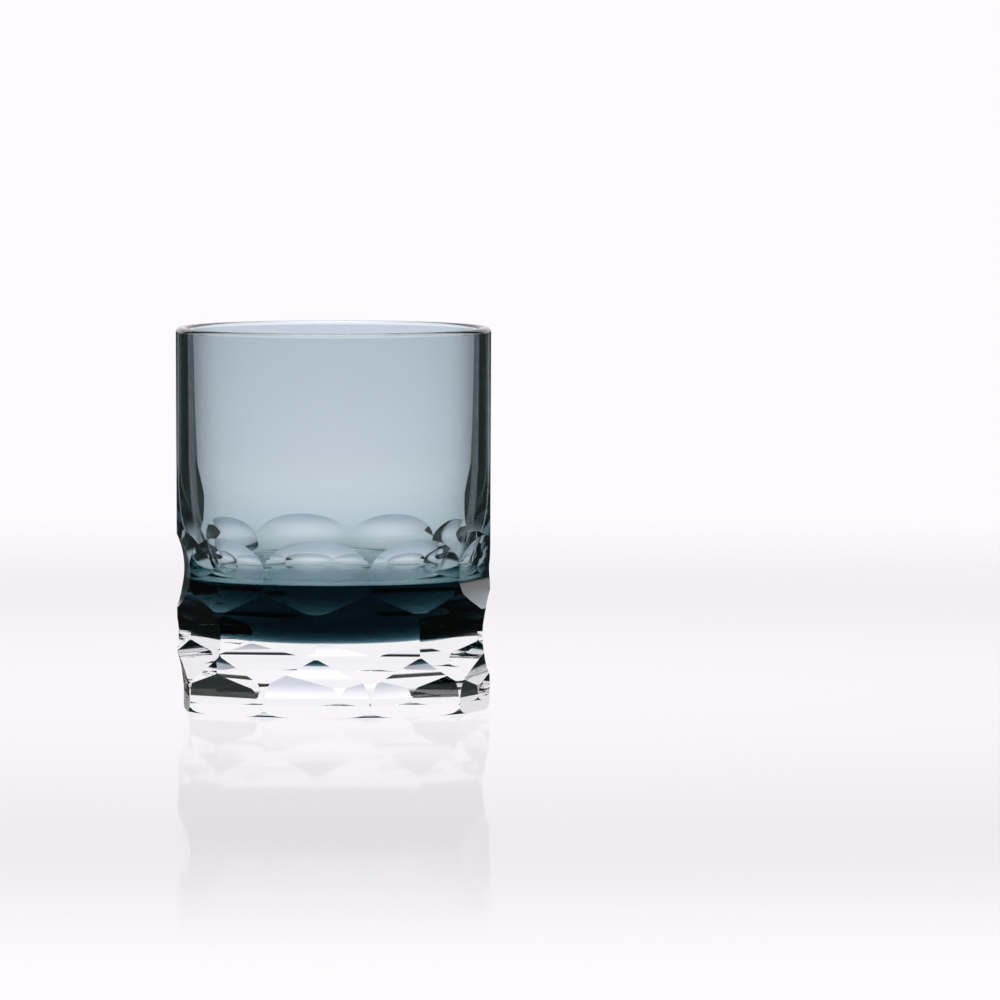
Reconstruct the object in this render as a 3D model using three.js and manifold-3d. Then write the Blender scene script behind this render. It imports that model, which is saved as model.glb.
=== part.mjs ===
// Whiskey tumbler (double old-fashioned glass) of two pieces of glass fused hot.
// A smoke-tinted cup sits on a clear crystal foot, and the lower body of both is
// cut with a grinding wheel in three staggered rows of shallow hollows.
// Millimetres, +Z up, origin at the centre of the underside, front towards -Y.
import * as THREE from "three";
import { mergeVertices } from "three/addons/utils/BufferGeometryUtils.js";
import Module from "manifold-3d";

// Overall sizes
const overall_height = 100;
const rim_diameter = 82.4;
const body_taper = 0.8; // how much narrower the foot is than the rim, on the diameter

// Cup: wall, lip and the drinking space
const rim_wall = 2.9; // wall thickness at the lip
const body_wall = 3.1; // wall thickness where the bowl starts to draw in
const floor_height = 33.8; // drinking space's floor above the table
const bowl_height = 30; // lower part of the drinking space, where the wall thickens
const bowl_lean = 0.6; // how far the wall has leaned in a little above its corner
const bowl_lean_height = 9.5; // height of that place above the floor
const bowl_corner_inset = 3; // how far the corner at the floor stands in from the wall
const bowl_corner_width = 6.15; // how far in from the wall the floor starts to curve up
const lip_inner_radius = 1.2;
const lip_outer_radius = 1.4;
const lip_flat = 0.2; // least flat left on the lip between its two rounds

// Seam between the two glasses: a shallow bowl, low in the middle
const seam_centre_height = 17.7;
const seam_rise = 6.4; // how much higher it is at the outside
const seam_steepness = 2.6; // power of the curve: flat in the middle, steep at the outside
const seam_gap = 0.3; // the meshes stand this far apart; the glass itself is fused

// Foot
const foot_edge_radius = 1.8;

// Wheel cuts, row by row from the top: height of the deepest line, depth and wheel
const cuts_per_row = 9;
const cut_rows = [
  { height: 36.5, depth: 2.65, wheel_radius: 18.8 },
  { height: 20, depth: 2.8, wheel_radius: 24 },
  { height: 3.3, depth: 2.4, wheel_radius: 30 },
];
const wheel_overhang = 4; // how far a wheel reaches past the body on each side

// Resolution
const turn_segments = 72;
const wheel_segments = 60;
const edge_steps = 4;
const bowl_steps = 10;
const seam_steps = 8;
const weld_distance = 1e-4;

const rim_radius = rim_diameter / 2;
const foot_radius = rim_radius - body_taper / 2;
const wheel_width = rim_radius + wheel_overhang;
// Both rounds of the lip shrink alike where the wall is too thin for them.
const lip_fit = Math.min(1, (rim_wall - lip_flat) / (lip_inner_radius + lip_outer_radius));

const manifold = await Module();
manifold.setup();

// The outside of the body leans out very slightly from foot to rim.
function body_radius(z) {
  return foot_radius + ((rim_radius - foot_radius) * z) / overall_height;
}

// Height of the seam at a distance from the axis.
function seam_height(r) {
  return seam_centre_height + seam_rise * Math.pow(r / foot_radius, seam_steepness);
}

// A quarter-round from one angle to another about a centre, in the profile's plane.
function arc(cx, cz, radius, from_deg, to_deg) {
  const points = [];
  for (let i = 0; i <= edge_steps; i += 1) {
    const a = THREE.MathUtils.degToRad(from_deg + ((to_deg - from_deg) * i) / edge_steps);
    points.push(new THREE.Vector2(cx + radius * Math.cos(a), cz + radius * Math.sin(a)));
  }
  return points;
}

// The seam's curve from the axis out to the body's outside, moved up or down by half the gap.
function seam_curve(offset) {
  const points = [];
  for (let i = 0; i <= seam_steps; i += 1) {
    const share = i / seam_steps;
    const edge_z = seam_height(foot_radius) + offset;
    const r = share * body_radius(edge_z);
    points.push(new THREE.Vector2(r, seam_height(r) + offset));
  }
  return points;
}

// A closed solid in manifold-3d from a three.js geometry.
function solid(geometry) {
  const bare = geometry.clone();
  bare.deleteAttribute("normal");
  bare.deleteAttribute("uv");
  const merged = mergeVertices(bare, weld_distance);
  const corners = [];
  for (let i = 0; i < merged.index.count; i += 3) {
    const a = merged.index.getX(i);
    const b = merged.index.getX(i + 1);
    const c = merged.index.getX(i + 2);
    if (a !== b && b !== c && c !== a) {
      corners.push(a, b, c);
    }
  }
  const mesh = new manifold.Mesh({
    numProp: 3,
    vertProperties: new Float32Array(merged.attributes.position.array),
    triVerts: new Uint32Array(corners),
  });
  return new manifold.Manifold(mesh);
}

// A body turned about the tumbler's axis from a profile of radius and height.
function turned(profile) {
  const lathe = new THREE.LatheGeometry(profile, turn_segments);
  lathe.rotateX(Math.PI / 2);
  return solid(lathe);
}

// Cup: outside from the seam up to the lip, then down the inside to the floor.
function cup_blank() {
  const outside = seam_curve(seam_gap / 2);
  const outer_round = lip_outer_radius * lip_fit;
  const inner_round = lip_inner_radius * lip_fit;
  const inner_rim_radius = rim_radius - rim_wall;
  const lip_outer = arc(rim_radius - outer_round, overall_height - outer_round, outer_round, 0, 90);
  const lip_inner = arc(inner_rim_radius + inner_round, overall_height - inner_round, inner_round, 90, 180);
  const bowl_top = floor_height + bowl_height;
  const bowl_top_radius = body_radius(bowl_top) - body_wall;
  const bowl = new THREE.CubicBezierCurve(
    new THREE.Vector2(bowl_top_radius, bowl_top),
    new THREE.Vector2(bowl_top_radius - bowl_lean, floor_height + bowl_lean_height),
    new THREE.Vector2(bowl_top_radius - bowl_corner_inset, floor_height),
    new THREE.Vector2(bowl_top_radius - bowl_corner_width, floor_height),
  );
  const floor_centre = new THREE.Vector2(0, floor_height);
  return turned([...outside, ...lip_outer, ...lip_inner, ...bowl.getPoints(bowl_steps), floor_centre]);
}

// Foot: flat underside, rounded edge, short outside, and the seam's hollow on top.
function foot_blank() {
  const edge_x = body_radius(0) - foot_edge_radius;
  const edge = arc(edge_x, foot_edge_radius, foot_edge_radius, -90, 0);
  const top = seam_curve(-seam_gap / 2).reverse();
  return turned([new THREE.Vector2(0, 0), ...edge, ...top]);
}

// One wheel lying across the body with its axle level: it leaves a hollow that is
// straight from side to side and curved from top to bottom.
function wheel_cut(row, angle_deg) {
  const wheel = new THREE.CylinderGeometry(
    row.wheel_radius,
    row.wheel_radius,
    wheel_width,
    wheel_segments,
  );
  const axle_distance = body_radius(row.height) - row.depth + row.wheel_radius;
  wheel.rotateZ(Math.PI / 2);
  wheel.translate(0, -axle_distance, row.height);
  wheel.rotateZ(THREE.MathUtils.degToRad(angle_deg));
  return solid(wheel);
}

// Every other row is turned by half a cut, so the hollows sit like bricks.
function all_cuts() {
  const pitch = 360 / cuts_per_row;
  const cuts = [];
  cut_rows.forEach((row, number) => {
    const stagger = number % 2 === 0 ? 0 : pitch / 2;
    for (let i = 0; i < cuts_per_row; i += 1) {
      cuts.push(wheel_cut(row, stagger + pitch * i));
    }
  });
  return cuts;
}

function cut_body(blank) {
  let body = blank;
  for (const cut of all_cuts()) {
    body = body.subtract(cut);
  }
  return body;
}

// Polished glass of one colour; thin walls let most of the light through.
function polished_glass(colour, opacity) {
  return new THREE.MeshStandardMaterial({
    color: colour,
    roughness: 0.05,
    metalness: 0,
    transparent: true,
    opacity: opacity,
  });
}

// A named mesh with its own material from a finished solid.
function glass_mesh(name, body, material) {
  const result = body.getMesh();
  const geometry = new THREE.BufferGeometry();
  geometry.setAttribute("position", new THREE.BufferAttribute(new Float32Array(result.vertProperties), 3));
  geometry.setIndex(new THREE.BufferAttribute(new Uint32Array(result.triVerts), 1));
  const faceted = geometry.toNonIndexed();
  faceted.computeVertexNormals();
  const mesh = new THREE.Mesh(faceted, material);
  mesh.name = name;
  return mesh;
}

const smoke_glass = polished_glass(0xb4c3cc, 0.5);
const clear_crystal = polished_glass(0xeef3f5, 0.35);

const tumbler = new THREE.Group();
tumbler.name = "whiskey_tumbler";
tumbler.add(glass_mesh("tinted_cup", cut_body(cup_blank()), smoke_glass));
tumbler.add(glass_mesh("crystal_foot", cut_body(foot_blank()), clear_crystal));

export default tumbler;
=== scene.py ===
# Whiskey tumbler: a smoke-tinted cup fused on to a clear crystal foot, both cut with
# a grinding wheel in three staggered rows of shallow hollows. Metres, +Z up.
import math

import bmesh
import bpy
import numpy as np
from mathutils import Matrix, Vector


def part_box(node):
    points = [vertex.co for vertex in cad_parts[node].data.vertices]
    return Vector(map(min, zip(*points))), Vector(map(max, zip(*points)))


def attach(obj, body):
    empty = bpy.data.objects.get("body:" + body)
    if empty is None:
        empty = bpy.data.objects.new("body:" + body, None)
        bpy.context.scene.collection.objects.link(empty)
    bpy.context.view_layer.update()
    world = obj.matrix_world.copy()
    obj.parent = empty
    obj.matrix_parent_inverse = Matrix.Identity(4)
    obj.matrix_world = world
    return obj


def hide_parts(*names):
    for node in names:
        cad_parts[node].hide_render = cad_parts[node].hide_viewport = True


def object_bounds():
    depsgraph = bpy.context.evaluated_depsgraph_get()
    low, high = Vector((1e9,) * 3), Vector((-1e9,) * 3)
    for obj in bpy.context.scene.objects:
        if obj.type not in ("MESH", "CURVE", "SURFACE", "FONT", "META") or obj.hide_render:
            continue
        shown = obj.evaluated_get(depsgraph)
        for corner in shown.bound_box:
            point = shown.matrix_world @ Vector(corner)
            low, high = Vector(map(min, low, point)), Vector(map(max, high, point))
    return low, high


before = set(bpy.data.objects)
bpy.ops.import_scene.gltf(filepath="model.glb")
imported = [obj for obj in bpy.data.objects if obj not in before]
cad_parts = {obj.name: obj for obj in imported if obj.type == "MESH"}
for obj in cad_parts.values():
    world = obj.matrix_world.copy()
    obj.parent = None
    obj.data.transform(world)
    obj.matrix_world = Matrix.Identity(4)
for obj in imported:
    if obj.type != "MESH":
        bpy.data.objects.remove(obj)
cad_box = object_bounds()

# ---------------------------------------------------------------------------
# Smoke glass cup
# Blown from smoke blue-grey crystal: a straight, barely flared wall with a
# fire-polished lip and a thick rounded bottom, stuck hot on to the foot with no glue.
# Its lower body is then cut together with the foot.
# ---------------------------------------------------------------------------
MM = 0.001
height = cad_box[1].z
rim_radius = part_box("tinted_cup")[1].x
wall_flare = 0.4 * MM
foot_radius = rim_radius - wall_flare
rim_wall = 2.9 * MM
lip_outer_round = 1.4 * MM
lip_inner_round = 1.2 * MM
bowl_wall = 3.1 * MM
floor_height = 33.8 * MM
bowl_height = 30.0 * MM
bowl_lean = 0.6 * MM
bowl_lean_height = 9.5 * MM
bowl_corner_inset = 3.0 * MM
bowl_corner_width = 6.15 * MM
seam_centre = 17.7 * MM
seam_rise = 6.4 * MM
seam_steepness = 2.6
seam_slit = 0.04 * MM  # the two bodies stay this far apart, too little to see
turns = 288
on_axis = 1e-9  # anything nearer to the axis lies on it


def body_radius(z):
    """Outside radius of the uncut body at a height."""
    return foot_radius + wall_flare * z / height


def round_edge(cx, cz, radius, start, end, steps=10):
    """Quarter-round of a profile, as (radius, height) pairs, between two angles in degrees."""
    angles = np.radians(np.linspace(start, end, steps + 1))
    return [(cx + radius * math.cos(a), cz + radius * math.sin(a)) for a in angles]


seam_edge = body_radius(seam_centre + seam_rise)


def seam_height(radius):
    """Height of the middle of the fused seam at a distance from the axis."""
    return seam_centre + seam_rise * (radius / seam_edge) ** seam_steepness


def seam_line(offset, steps=40):
    """Profile of the fused seam, a shallow bowl, from the axis to the outside."""
    crowd_outwards = 0.8
    radii = np.linspace(0, 1, steps + 1) ** crowd_outwards * seam_edge
    return [(r, seam_height(r) + offset) for r in radii]


def bowl_line(steps=48):
    """Inside of the cup from its straight wall round into the flat of the floor."""
    top = floor_height + bowl_height
    wall = body_radius(top) - bowl_wall
    corners = [
        Vector((wall, top)),
        Vector((wall - bowl_lean, floor_height + bowl_lean_height)),
        Vector((wall - bowl_corner_inset, floor_height)),
        Vector((wall - bowl_corner_width, floor_height)),
    ]
    line = []
    for t in np.linspace(0, 1, steps + 1):
        s = 1 - t
        p = corners[0] * s**3 + corners[1] * 3 * s * s * t + corners[2] * 3 * s * t * t + corners[3] * t**3
        line.append((p.x, p.y))
    return line


def turned(name, profile):
    """Closed body turned round the axis from a profile that starts and ends on it."""
    bm = bmesh.new()
    rings = []
    for r, z in profile:
        if r < on_axis:
            rings.append([bm.verts.new((0, 0, z))])
            continue
        angles = [2 * math.pi * i / turns for i in range(turns)]
        rings.append([bm.verts.new((r * math.sin(a), -r * math.cos(a), z)) for a in angles])
    for low, high in zip(rings, rings[1:]):
        for i in range(turns):
            j = (i + 1) % turns
            ring = [low[i % len(low)], low[j % len(low)], high[j % len(high)], high[i % len(high)]]
            bm.faces.new(list(dict.fromkeys(ring)))
    bmesh.ops.recalc_face_normals(bm, faces=bm.faces)
    mesh = bpy.data.meshes.new(name)
    bm.to_mesh(mesh)
    bm.free()
    piece = bpy.data.objects.new(name, mesh)
    bpy.context.collection.objects.link(piece)
    return piece


lip_outer_x = body_radius(height) - lip_outer_round
lip_inner_x = rim_radius - rim_wall + lip_inner_round
cup_profile = seam_line(seam_slit / 2)
cup_profile += round_edge(lip_outer_x, height - lip_outer_round, lip_outer_round, 0, 90)
cup_profile += round_edge(lip_inner_x, height - lip_inner_round, lip_inner_round, 90, 180)
cup_profile += bowl_line() + [(0, floor_height)]
cup = turned("smoke_glass_cup", cup_profile)

# The cutter holds the tumbler across a wide wheel whose axle is level, so each hollow
# is straight from side to side and curved from top to bottom. Rows from the top down.
cuts_per_row = 9
wheel_half_width = 23 * MM
row_height = [36.5 * MM, 20.0 * MM, 3.3 * MM]
row_depth = [2.65 * MM, 2.8 * MM, 2.4 * MM]
row_wheel_radius = [18.8 * MM, 24 * MM, 30 * MM]
cut_pitch = 360 / cuts_per_row
stagger = cut_pitch / 2  # the middle row is turned by this much


class Cut:
    """One hollow: where the wheel's axle lay and which way it faced."""

    def __init__(self, row, number):
        self.angle = math.radians(cut_pitch * number + stagger * (row % 2))
        self.height = row_height[row]
        self.radius = row_wheel_radius[row]
        self.axle = body_radius(self.height) - row_depth[row] + self.radius
        self.out = np.array([math.sin(self.angle), -math.cos(self.angle), 0.0])
        self.along = np.array([math.cos(self.angle), math.sin(self.angle), 0.0])

    def depth_at(self, points):
        """How far points lie outside the wheel, so 0 on the hollow's surface."""
        u = points @ self.out
        return np.hypot(self.axle - u, points[:, 2] - self.height) - self.radius

    def normals_at(self, points):
        """Outward normals of the glass on the hollow's surface, towards the axle."""
        u = points @ self.out
        toward = (self.axle - u)[:, None] * self.out
        toward[:, 2] += self.height - points[:, 2]
        return toward / np.linalg.norm(toward, axis=1)[:, None]

    def wheel(self, segments=400):
        """The wheel itself, as a closed cylinder lying on its axle."""
        bm = bmesh.new()
        sides = []
        for side in (-1, 1):
            ring = []
            for i in range(segments):
                a = 2 * math.pi * (i + 0.5) / segments
                p = self.out * (self.axle - self.radius * math.cos(a)) + self.along * side * wheel_half_width
                ring.append(bm.verts.new((p[0], p[1], self.height + self.radius * math.sin(a))))
            sides.append(ring)
            bm.faces.new(ring)
        for i in range(segments):
            j = (i + 1) % segments
            bm.faces.new((sides[0][i], sides[0][j], sides[1][j], sides[1][i]))
        bmesh.ops.recalc_face_normals(bm, faces=bm.faces)
        mesh = bpy.data.meshes.new("wheel")
        bm.to_mesh(mesh)
        bm.free()
        return bpy.data.objects.new("wheel", mesh)


cuts = [Cut(row, number) for row in range(len(row_height)) for number in range(cuts_per_row)]

# What a face belongs to: a hollow's own number, or one of these.
ROUND_SIDE, SEAM, UNDERSIDE, FREE_CURVE = 100, 101, 102, 103


def sort_faces(centres, normals):
    """The label of each face, from which true surface of the glass it lies on."""
    near = 0.03 * MM
    near_seam = 0.045 * MM
    near_table = 0.02 * MM
    facing_out = 0.9
    facing_up = 0.5
    along_the_cut = 0.99
    radius = np.hypot(centres[:, 0], centres[:, 1])
    outward = (centres[:, 0] * normals[:, 0] + centres[:, 1] * normals[:, 1]) / np.maximum(radius, on_axis)
    label = np.full(len(centres), FREE_CURVE)
    round_side = np.abs(radius - body_radius(centres[:, 2])) < near
    label[round_side & (outward > facing_out)] = ROUND_SIDE
    on_seam = np.abs(centres[:, 2] - seam_height(radius)) < near_seam
    label[on_seam & (np.abs(normals[:, 2]) > facing_up)] = SEAM
    label[centres[:, 2] < near_table] = UNDERSIDE
    for number, cut in enumerate(cuts):
        on_cut = np.abs(cut.depth_at(centres)) < near
        facing = np.einsum("ij,ij->i", cut.normals_at(centres), normals) > along_the_cut
        label[on_cut & facing & (label != SEAM) & (label != UNDERSIDE)] = number
    return label


def true_normals(label, corners):
    """Exact normals at the corners of hollows and of the round side, and none elsewhere."""
    given = np.zeros((len(corners), 3))
    for number, cut in enumerate(cuts):
        mine = label == number
        given[mine] = cut.normals_at(corners[mine])
    mine = label == ROUND_SIDE
    side = corners[mine] * [1, 1, 0]
    side /= np.linalg.norm(side, axis=1)[:, None]
    side[:, 2] = -wall_flare / height
    given[mine] = side / np.linalg.norm(side, axis=1)[:, None]
    return given


def values_of(items, name, width=1, kind=float):
    """One property of all of a mesh's items, as an array with a row for each."""
    flat = np.empty(len(items) * width, dtype=kind)
    items.foreach_get(name, flat)
    return flat.reshape(-1, width) if width > 1 else flat


def polish(piece):
    """Shades every face as its true surface, with a crisp line where two surfaces meet."""
    mesh = piece.data
    label = sort_faces(values_of(mesh.polygons, "center", 3), values_of(mesh.polygons, "normal", 3))
    corner_label = np.repeat(label, values_of(mesh.polygons, "loop_total", kind=int))
    corner_vertex = values_of(mesh.loops, "vertex_index", kind=int)
    normals = true_normals(corner_label, values_of(mesh.vertices, "co", 3)[corner_vertex])
    mesh.polygons.foreach_set("use_smooth", [True] * len(mesh.polygons))
    bm = bmesh.new()
    bm.from_mesh(mesh)
    bm.faces.ensure_lookup_table()
    for edge in bm.edges:
        kinds = {label[face.index] for face in edge.link_faces}
        edge.smooth = len(kinds) == 1 or kinds <= {ROUND_SIDE, FREE_CURVE}
    bm.to_mesh(mesh)
    bm.free()
    for name, wanted in (("fused", SEAM), ("ground", UNDERSIDE)):
        mark = mesh.attributes.new(name, "FLOAT", "FACE")
        mark.data.foreach_set("value", (label == wanted).astype(float))
    mesh.normals_split_custom_set(normals)
    mesh.update()


def grind(piece):
    """Takes every hollow out of a piece, then polishes it."""
    wheels = []
    for cut in cuts:
        wheel = cut.wheel()
        bpy.context.collection.objects.link(wheel)
        wheels.append(wheel)
        grinding = piece.modifiers.new("cut", "BOOLEAN")
        grinding.operation = "DIFFERENCE"
        grinding.solver = "MANIFOLD"
        grinding.object = wheel
    bpy.context.view_layer.update()
    graph = bpy.context.evaluated_depsgraph_get()
    cut_mesh = bpy.data.meshes.new_from_object(piece.evaluated_get(graph))
    piece.modifiers.clear()
    piece.data = cut_mesh
    for wheel in wheels:
        bpy.data.meshes.remove(wheel.data)
    polish(piece)


grind(cup)


def linear(code):
    """Linear colour from an sRGB hex value."""
    parts = [int(code[i : i + 2], 16) / 255 for i in (1, 3, 5)]
    return [p / 12.92 if p <= 0.04045 else ((p + 0.055) / 1.055) ** 2.4 for p in parts] + [1.0]


def add(tree, kind, settings=None, **links):
    """Adds a node, sets its properties and sockets, and links its named or n-numbered inputs."""
    node = tree.nodes.new(kind)
    for name, value in (settings or {}).items():
        if isinstance(name, int) or name in node.inputs:
            node.inputs[name].default_value = value
        else:
            setattr(node, name, value)
    for name, source in links.items():
        key = int(name[1:]) if name[0] == "n" and name[1:].isdigit() else name.replace("_", " ")
        tree.links.new(source, node.inputs[key])
    return node


def blank(name):
    """A new empty node material."""
    material = bpy.data.materials.new(name)
    material.use_nodes = True
    material.node_tree.nodes.clear()
    return material, material.node_tree


crystal_ior = 1.52


def polished_crystal(tree):
    """Fire-polished crystal, with no roughness at all: it shows only what it bends and
    mirrors. Where the two glasses are fused it bends nothing, so the seam has no shine."""
    fused = add(tree, "ShaderNodeAttribute", {"attribute_name": "fused"})
    ior = add(tree, "ShaderNodeMapRange", {"To Min": crystal_ior, "To Max": 1.0}, Value=fused.outputs["Fac"])
    return add(
        tree,
        "ShaderNodeBsdfPrincipled",
        {"Base Color": (1, 1, 1, 1), "Roughness": 0.0, "Transmission Weight": 1.0},
        IOR=ior.outputs["Result"],
    )


# Smoke crystal, tinted in the melt: the tint deepens with thickness, so the thin wall is
# a pale blue grey and the thick bottom is almost black.
smoke_per_metre = (92.0, 67.0, 61.5)  # absorption in red, green and blue
smoke_density = 95.0
smoke_crystal, tree = blank("smoke_grey_crystal")
smoke_colour = [1 - share / smoke_density for share in smoke_per_metre] + [1.0]
glass = polished_crystal(tree)
melt = add(tree, "ShaderNodeVolumeAbsorption", {"Color": smoke_colour, "Density": smoke_density})
add(tree, "ShaderNodeOutputMaterial", Surface=glass.outputs["BSDF"], Volume=melt.outputs["Volume"])


def finish(piece, material, node):
    """Puts the glass on a piece and hands it to the frame; clear glass hardly dims the table."""
    piece.data.materials.clear()
    piece.data.materials.append(material)
    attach(piece, "root")
    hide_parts(node)
    piece.visible_shadow = False
    piece.visible_diffuse = False


finish(cup, smoke_crystal, "tinted_cup")

# ---------------------------------------------------------------------------
# Crystal foot
# A solid disc of clear, colourless crystal. Its top takes the round bottom of the cup,
# its edge is rounded, and its flat underside is ground.
# ---------------------------------------------------------------------------
foot_edge_round = 1.8 * MM
foot_profile = [(0, 0)]
foot_profile += round_edge(body_radius(0) - foot_edge_round, foot_edge_round, foot_edge_round, -90, 0)
foot_profile += seam_line(-seam_slit / 2)[::-1]
foot = turned("clear_crystal_foot", foot_profile)
grind(foot)

# Clear crystal with a matt ground underside, which looks white through the glass above it.
clear_crystal, tree = blank("clear_crystal")
glass = polished_crystal(tree)
ground = add(tree, "ShaderNodeAttribute", {"attribute_name": "ground"})
frost = add(tree, "ShaderNodeBsdfDiffuse", {"Color": linear("#dfdfdf")})
surface = add(
    tree, "ShaderNodeMixShader", n0=ground.outputs["Fac"], n1=glass.outputs["BSDF"], n2=frost.outputs["BSDF"]
)
add(tree, "ShaderNodeOutputMaterial", Surface=surface.outputs["Shader"])
finish(foot, clear_crystal, "crystal_foot")

# ---------------------------------------------------------------------------
# Camera
# A very long lens far in front of the tumbler, a few degrees round to its right and
# looking slightly down. It is aimed beside the tumbler, which so stands left of centre.
# ---------------------------------------------------------------------------
studio_turn = math.radians(6.1)
look_down = math.radians(2.95)
camera_distance = 6.3
aim_side = 43.5 * MM
aim_height = 54.75 * MM
ahead = Vector((-math.sin(studio_turn), math.cos(studio_turn), 0))
right = Vector((math.cos(studio_turn), math.sin(studio_turn), 0))
lens = bpy.data.cameras.new("catalogue_lens")
lens.sensor_width = 36
lens.lens = 868
lens.clip_start = 1
lens.clip_end = 50
camera = bpy.data.objects.new("catalogue_camera", lens)
camera.location = right * aim_side - ahead * camera_distance * math.cos(look_down)
camera.location.z = aim_height + camera_distance * math.sin(look_down)
camera.rotation_euler = (math.pi / 2 - look_down, 0, studio_turn)
bpy.context.collection.objects.link(camera)
bpy.context.scene.camera = camera

# ---------------------------------------------------------------------------
# Studio room
# White walls light the table. Seen through the glass or mirrored in it, the room is dark
# beside the lit paper, which draws the glass's dark edges, with a window above the paper.
# A pale wall behind the camera shows only through the glass.
# ---------------------------------------------------------------------------
scene = bpy.context.scene
scene.view_settings.view_transform = "Standard"
scene.cycles.max_bounces = 32
scene.cycles.transmission_bounces = 32
scene.cycles.glossy_bounces = 24
scene.cycles.transparent_max_bounces = 32
scene.cycles.caustics_reflective = False
scene.cycles.caustics_refractive = False

white_wall = linear("#fefbff")
dark_room = linear("#2e3130")
window_half_angles = [math.radians(30), math.radians(37)]
front_wall_angles = [math.radians(55), math.radians(70)]
front_wall_light = 0.75
horizon_blur = 0.03


def blur(low, high, start=0.0, end=1.0):
    """Settings of a soft change from one value to another, between two places."""
    ends = {"From Min": low, "From Max": high, "To Min": start, "To Max": end}
    return {"interpolation_type": "SMOOTHSTEP", **ends}


def along(direction):
    """Settings that measure a place along a direction."""
    return {"operation": "DOT_PRODUCT", 1: tuple(direction)}


world = bpy.data.worlds.new("studio_room")
scene.world = world
world.use_nodes = True
room = world.node_tree
room.nodes.clear()
gaze = add(room, "ShaderNodeTexCoord").outputs["Generated"]
path = add(room, "ShaderNodeLightPath").outputs
across = add(room, "ShaderNodeVectorMath", along(right), n0=gaze)
away = add(room, "ShaderNodeVectorMath", along(ahead), n0=gaze)
rise = add(room, "ShaderNodeSeparateXYZ", Vector=gaze)
heading = add(
    room, "ShaderNodeMath", {"operation": "ARCTAN2"}, n0=across.outputs["Value"], n1=away.outputs["Value"]
)
off_axis = add(room, "ShaderNodeMath", {"operation": "ABSOLUTE"}, n0=heading.outputs[0])
middle = add(room, "ShaderNodeMapRange", blur(*window_half_angles, 1.0, 0.0), Value=off_axis.outputs[0])
above = add(room, "ShaderNodeMapRange", blur(0.0, horizon_blur), Value=rise.outputs["Z"])
window = add(room, "ShaderNodeMath", {"operation": "MULTIPLY"}, n0=middle.outputs[0], n1=above.outputs[0])
front = add(
    room, "ShaderNodeMapRange", blur(*front_wall_angles, 0.0, front_wall_light), Value=off_axis.outputs[0]
)
front_wall = add(
    room, "ShaderNodeMath", {"operation": "MULTIPLY"}, n0=front.outputs[0], n1=path["Is Transmission Ray"]
)
lit = add(room, "ShaderNodeMath", {"operation": "MAXIMUM"}, n0=front_wall.outputs[0], n1=window.outputs[0])
in_glass = add(room, "ShaderNodeMix", {"data_type": "RGBA", 6: dark_room, 7: white_wall}, n0=lit.outputs[0])
bare = add(
    room, "ShaderNodeMath", {"operation": "MAXIMUM"}, n0=path["Is Camera Ray"], n1=path["Is Diffuse Ray"]
)
shown = add(
    room, "ShaderNodeMix", {"data_type": "RGBA", 7: white_wall}, n0=bare.outputs[0], n6=in_glass.outputs[2]
)
glow = add(room, "ShaderNodeBackground", Color=shown.outputs[2])
add(room, "ShaderNodeOutputWorld", Surface=glow.outputs["Background"])

# ---------------------------------------------------------------------------
# Paper sweep
# A strip of white paper lies under the tumbler and curves up behind it, wider at its far
# end. It glows with painted light, brightest where it bends, and it shows only in the glass.
# ---------------------------------------------------------------------------
sweep_start = -0.12
sweep_back = 0.39
sweep_curve = 0.03
sweep_bend = sweep_back - sweep_curve
sweep_curve_steps = 12
sweep_half_width = 0.085
sweep_bend_half_width = 0.105
sweep_flare = 0.7
sweep_drop = 0.05 * MM  # just under the foot, so the two never touch
# Where the sheet lies flat: how far back, how far up, and half its width there.
sweep_line = [
    (sweep_start, 0.0, sweep_half_width),
    (0.2, 0.0, sweep_half_width),
    (0.283, 0.0, 0.094),
    (sweep_bend, 0.0, sweep_bend_half_width),
]
for i in range(1, sweep_curve_steps + 1):
    a = math.pi / 2 * i / sweep_curve_steps
    up = sweep_curve * (1 - math.cos(a))
    sweep_line.append((sweep_bend + sweep_curve * math.sin(a), up, sweep_bend_half_width + sweep_flare * up))
# Where it stands: how far up, and half its width.
for up, half_width in ((0.04, 0.138), (0.055, 0.145), (0.08, 0.15), (0.5, 0.15)):
    sweep_line.append((sweep_back, up, half_width))
sweep_verts = []
for back, up, half_width in sweep_line:
    for side in (-1, 1):
        at = right * side * half_width + ahead * back
        sweep_verts.append((at.x, at.y, up - sweep_drop))
sweep_faces = [(2 * i, 2 * i + 1, 2 * i + 3, 2 * i + 2) for i in range(len(sweep_line) - 1)]
sweep_mesh = bpy.data.meshes.new("paper_sweep")
sweep_mesh.from_pydata(sweep_verts, [], sweep_faces)
sweep = bpy.data.objects.new("paper_sweep", sweep_mesh)
bpy.context.collection.objects.link(sweep)

# Matt white paper that glows with painted light: painted light makes it white where it
# bends, and painted shade makes it greyer under the tumbler, bluer and dimmer higher up and
# dimmer towards its sides.
flat_paper_painted_shade = linear("#e4e3e6")
bend_paper_painted_light = linear("#faf8ff")
high_paper_painted_shade = linear("#ced1df")
paper_light = 1.2
side_dimming = 0.36
side_reach = 0.13
whiter_from, whitest_from = 0.12, 0.3
bluer_from, bluest_from = 0.01, 0.09
paper, tree = blank("white_paper_painted_light")
spot = add(tree, "ShaderNodeTexCoord").outputs["Object"]
up = add(tree, "ShaderNodeSeparateXYZ", Vector=spot)
away = add(tree, "ShaderNodeVectorMath", along(ahead), n0=spot)
beside = add(tree, "ShaderNodeVectorMath", along(right / side_reach), n0=spot)
behind = add(tree, "ShaderNodeMapRange", blur(whiter_from, whitest_from), Value=away.outputs["Value"])
higher = add(tree, "ShaderNodeMapRange", blur(bluer_from, bluest_from), Value=up.outputs["Z"])
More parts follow.
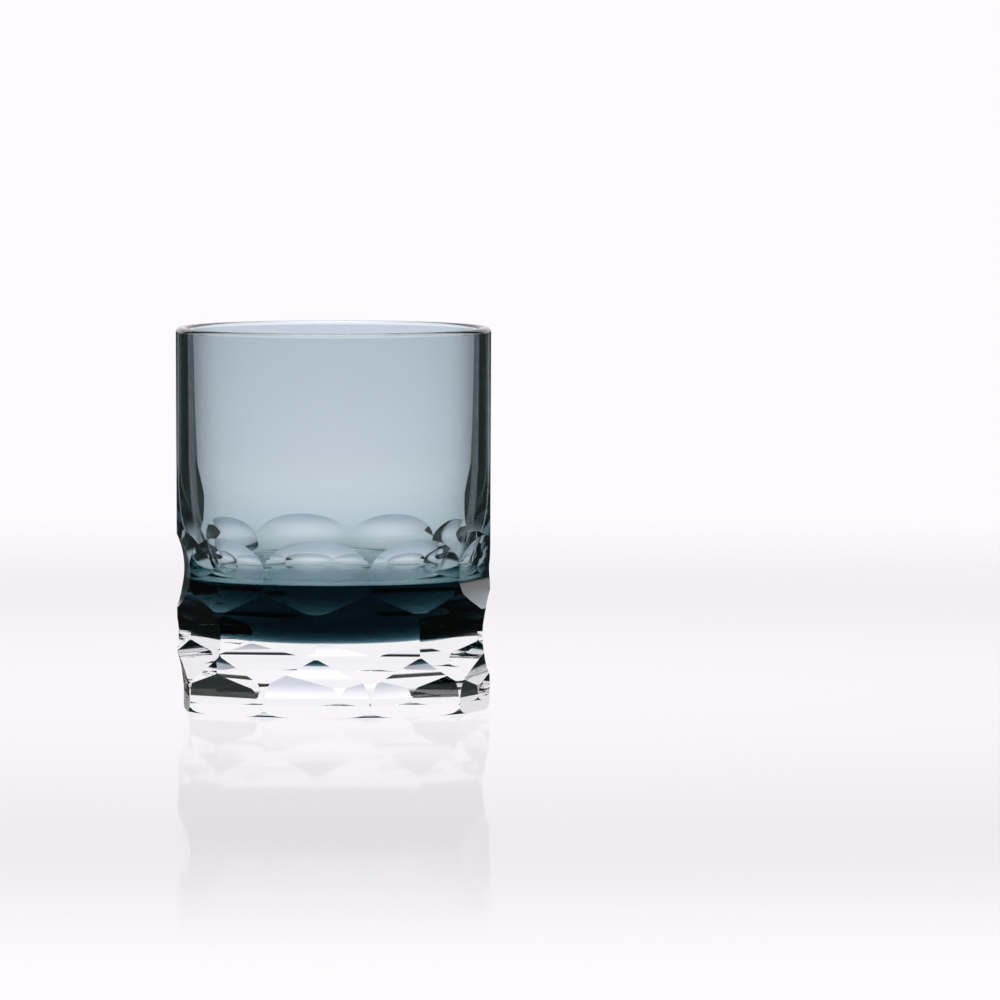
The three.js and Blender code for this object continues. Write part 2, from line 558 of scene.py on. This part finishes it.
low_hue = add(
    tree, "ShaderNodeMix", {"data_type": "RGBA", 6: flat_paper_painted_shade, 7: bend_paper_painted_light}, n0=behind.outputs[0]
)
hue = add(
    tree, "ShaderNodeMix", {"data_type": "RGBA", 7: high_paper_painted_shade}, n0=higher.outputs[0], n6=low_hue.outputs[2]
)
spread = add(
    tree, "ShaderNodeMath", {"operation": "MULTIPLY"}, n0=beside.outputs["Value"], n1=beside.outputs["Value"]
)
dimming = add(tree, "ShaderNodeMath", {"operation": "MULTIPLY"}, n0=spread.outputs[0], n1=behind.outputs[0])
strength = add(
    tree,
    "ShaderNodeMath",
    {"operation": "MULTIPLY_ADD", 1: -side_dimming * paper_light, 2: paper_light},
    n0=dimming.outputs[0],
)
# The glow is painted light; no lamp shines on the paper.
shine = add(tree, "ShaderNodeEmission", Color=hue.outputs[2], Strength=strength.outputs[0])
add(tree, "ShaderNodeOutputMaterial", Surface=shine.outputs["Emission"])
sweep_mesh.materials.append(paper)
sweep.visible_camera = False
sweep.visible_diffuse = False
sweep.visible_glossy = False
sweep.visible_shadow = False

# ---------------------------------------------------------------------------
# Table top
# A wide disc of pale laminate, a hair under the foot. It fades into the white room
# before its edge shows.
# ---------------------------------------------------------------------------
table_radius = 3
table_drop = 0.1 * MM
fade_start = 0.45
fade_end = 0.95
bm = bmesh.new()
bmesh.ops.create_circle(bm, cap_ends=True, segments=128, radius=table_radius)
table_mesh = bpy.data.meshes.new("table_top")
bm.to_mesh(table_mesh)
bm.free()
table = bpy.data.objects.new("table_top", table_mesh)
table.location.z = -table_drop
bpy.context.collection.objects.link(table)

# Melamine laminate under a thin gloss lacquer, which mirrors the foot faintly. Light that
# leaves the glass at a shallow angle meets painted shade: a dark glow in the room's colour
# stands in for a part of the table in shade.
lacquer_share = 0.14
shallow_from, shallow_to = 0.62, 0.75
laminate, tree = blank("white_laminate")
spot = add(tree, "ShaderNodeTexCoord").outputs["Object"]
reach = add(tree, "ShaderNodeVectorMath", {"operation": "LENGTH"}, n0=spot)
fade = add(tree, "ShaderNodeMapRange", blur(fade_start, fade_end), Value=reach.outputs["Value"])
board = add(tree, "ShaderNodeBsdfDiffuse", {"Color": linear("#e0dfe0")})
lacquer = add(tree, "ShaderNodeBsdfGlossy", {"Roughness": 0.035})
coated = add(
    tree, "ShaderNodeMixShader", {0: lacquer_share}, n1=board.outputs["BSDF"], n2=lacquer.outputs["BSDF"]
)
slant = add(tree, "ShaderNodeLayerWeight", {"Blend": 0.5})
shallow = add(tree, "ShaderNodeMapRange", blur(shallow_from, shallow_to), Value=slant.outputs["Facing"])
path = add(tree, "ShaderNodeLightPath").outputs
painted_shade = add(
    tree, "ShaderNodeMath", {"operation": "MULTIPLY"}, n0=shallow.outputs[0], n1=path["Is Transmission Ray"]
)
# Painted shade: a dark glow that only light leaving the glass at a shallow angle sees.
painted_gloom = add(tree, "ShaderNodeEmission", {"Color": dark_room})
around = add(tree, "ShaderNodeMixShader", n0=painted_shade.outputs[0], n1=coated.outputs[0], n2=painted_gloom.outputs[0])
clear = add(tree, "ShaderNodeBsdfTransparent")
mixed = add(tree, "ShaderNodeMixShader", n0=fade.outputs[0], n1=around.outputs[0], n2=clear.outputs[0])
add(tree, "ShaderNodeOutputMaterial", Surface=mixed.outputs["Shader"])
table_mesh.materials.append(laminate)
table.visible_glossy = False

# ---------------------------------------------------------------------------
# Overhead softbox
# A square light on a boom above and just behind the tumbler, facing it. It keeps the
# table around the foot nearly white.
# ---------------------------------------------------------------------------
softbox = bpy.data.lights.new("overhead_softbox", "AREA")
softbox.shape = "RECTANGLE"
softbox.size = 0.5
softbox.size_y = 0.5
softbox.energy = 3.0
softbox_back = 0.1
softbox_height = 0.9
lamp = bpy.data.objects.new("overhead_softbox", softbox)
lamp.location = ahead * softbox_back + Vector((0, 0, softbox_height))
lamp.rotation_euler = (Vector((0, 0, height / 2)) - lamp.location).to_track_quat("-Z", "Y").to_euler()
bpy.context.collection.objects.link(lamp)
